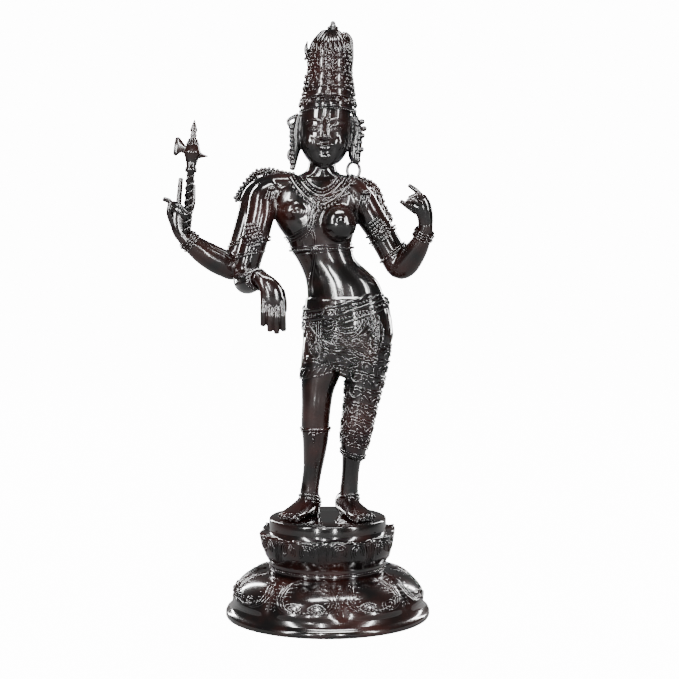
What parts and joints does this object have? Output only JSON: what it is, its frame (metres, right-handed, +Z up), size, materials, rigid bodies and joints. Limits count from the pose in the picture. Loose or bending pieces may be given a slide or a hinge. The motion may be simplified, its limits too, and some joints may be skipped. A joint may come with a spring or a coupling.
{
  "type": "ardhanarishvara statue",
  "caption": "Cast bronze half-male, half-female temple deity in a triple bend, raising a battle-axe, on a round lotus pedestal.",
  "frame": {"origin": "centre of the pedestal's underside", "axes": "+Z up; the figure faces -Y, its own right side, the god's half with the axe, at -X"},
  "size_m": [0.2765, 0.2122, 0.612],
  "materials": {
    "figure_bronze": "bronze, dark patina, waxed and polished to a high gloss",
    "pedestal_bronze": "bronze, dark patina, waxed and polished to a high gloss"
  },
  "bodies": {
    "root": {"figure": "figure_bronze", "lotus_pedestal": "pedestal_bronze"}
  },
  "joints": []
}
